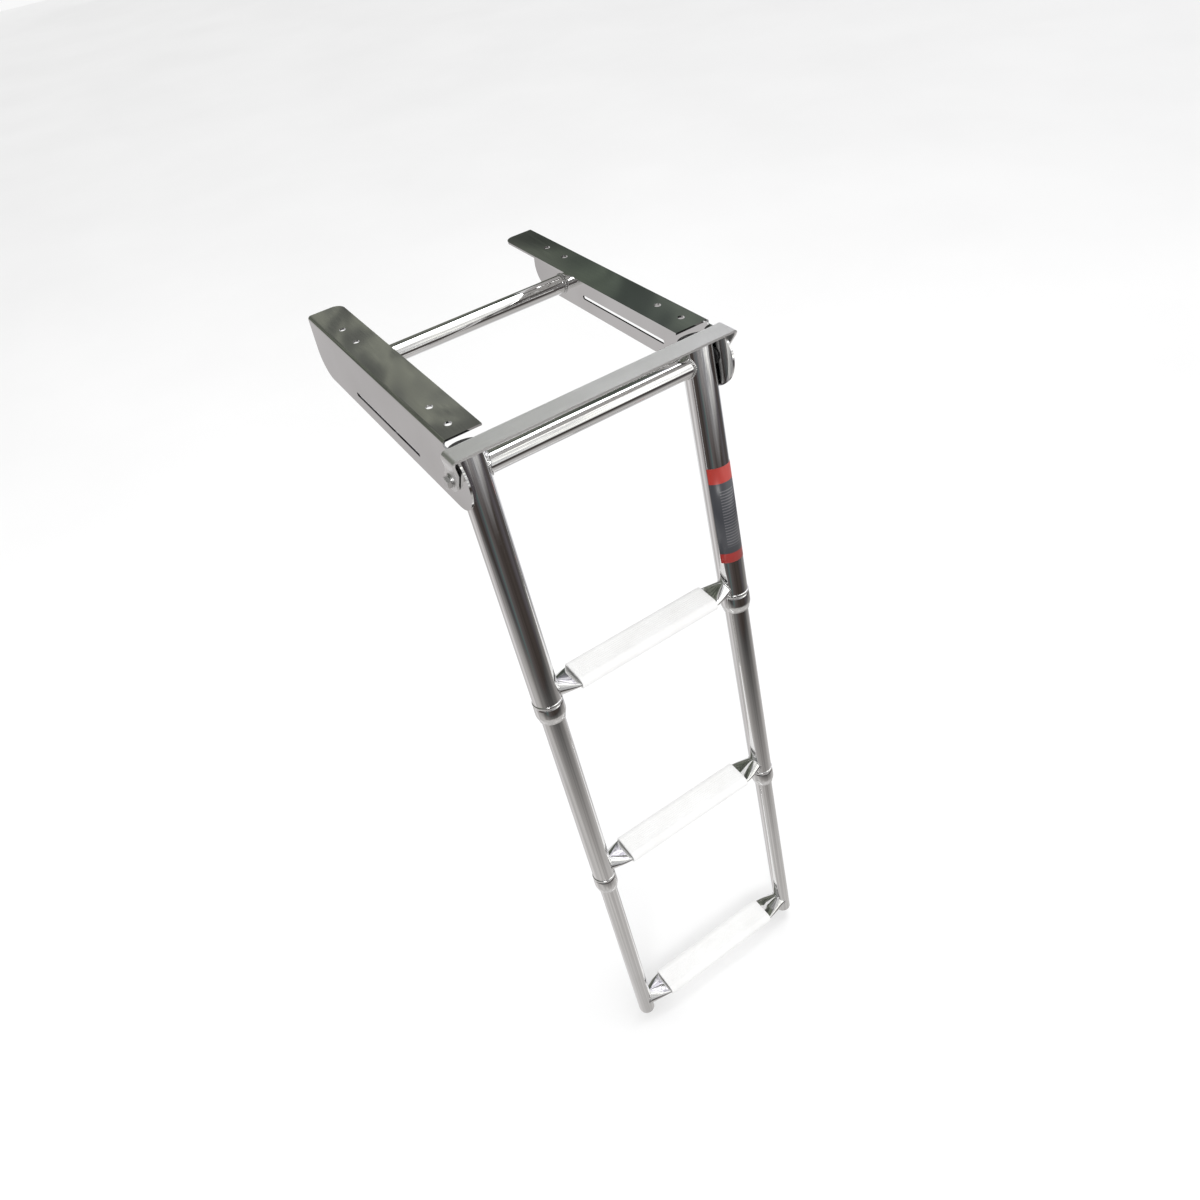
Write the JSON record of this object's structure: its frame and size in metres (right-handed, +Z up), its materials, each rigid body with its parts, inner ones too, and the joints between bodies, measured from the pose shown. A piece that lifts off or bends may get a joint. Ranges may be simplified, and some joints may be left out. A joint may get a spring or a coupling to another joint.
{
  "type": "telescoping boat boarding ladder",
  "caption": "Under-platform boarding ladder: two folded steel rails, a swinging pair of telescoping tubes, flattened steps with plastic treads, and a flat grab bar.",
  "frame": {"origin": "centre of the mounting hole pattern, on top of the two flanges", "axes": "+X to the right along the steps, +Y inboard along the rails, +Z up; the ladder hangs from the outboard (-Y) end"},
  "size_m": [0.3718, 0.6659, 1.0129],
  "materials": {
    "polished_steel": "mirror polished stainless steel",
    "satin_steel": "satin brushed stainless steel",
    "black_nylon": "moulded black nylon",
    "white_nylon": "moulded white plastic",
    "label_film": "printed film, no lettering"
  },
  "bodies": {
    "frame": {"rail_left": "polished_steel", "rail_right": "polished_steel", "rear_cross_tube": "polished_steel", "pivot_bushes": "black_nylon"},
    "upper_section": {"upper_tube_left": "polished_steel", "upper_tube_right": "polished_steel", "top_cap_left": "black_nylon", "top_cap_right": "black_nylon", "pivot_barrels": "polished_steel", "pivot_bolts": "polished_steel", "bolt_washers": "polished_steel", "side_washers": "black_nylon", "top_cross_tube": "polished_steel", "grab_bar": "satin_steel", "upper_collar_left": "polished_steel", "upper_collar_right": "polished_steel", "upper_bearing_left": "black_nylon", "upper_bearing_right": "black_nylon", "upper_step": "polished_steel", "upper_tread": "white_nylon", "rating_label": "label_film"},
    "middle_section": {"middle_tube_left": "polished_steel", "middle_tube_right": "polished_steel", "middle_guide_left": "black_nylon", "middle_guide_right": "black_nylon", "middle_collar_left": "polished_steel", "middle_collar_right": "polished_steel", "middle_bearing_left": "black_nylon", "middle_bearing_right": "black_nylon", "middle_step": "polished_steel", "middle_tread": "white_nylon"},
    "lower_section": {"lower_tube_left": "polished_steel", "lower_tube_right": "polished_steel", "lower_guide_left": "black_nylon", "lower_guide_right": "black_nylon", "foot_plug_left": "polished_steel", "foot_plug_right": "polished_steel", "lower_step": "polished_steel", "lower_tread": "white_nylon"}
  },
  "joints": [
    {"name": "ladder_fold", "type": "hinge", "parent": "frame", "child": "upper_section", "pos_m": [0, -0.174, -0.042], "axis": [1, 0, 0], "range_deg": [0, 95]},
    {"name": "middle_slide", "type": "slide", "parent": "upper_section", "child": "middle_section", "axis": [0, 0.2672, 0.9636], "range_m": [0, 0.278]},
    {"name": "lower_slide", "type": "slide", "parent": "middle_section", "child": "lower_section", "axis": [0, 0.2672, 0.9636], "range_m": [0, 0.28]}
  ]
}
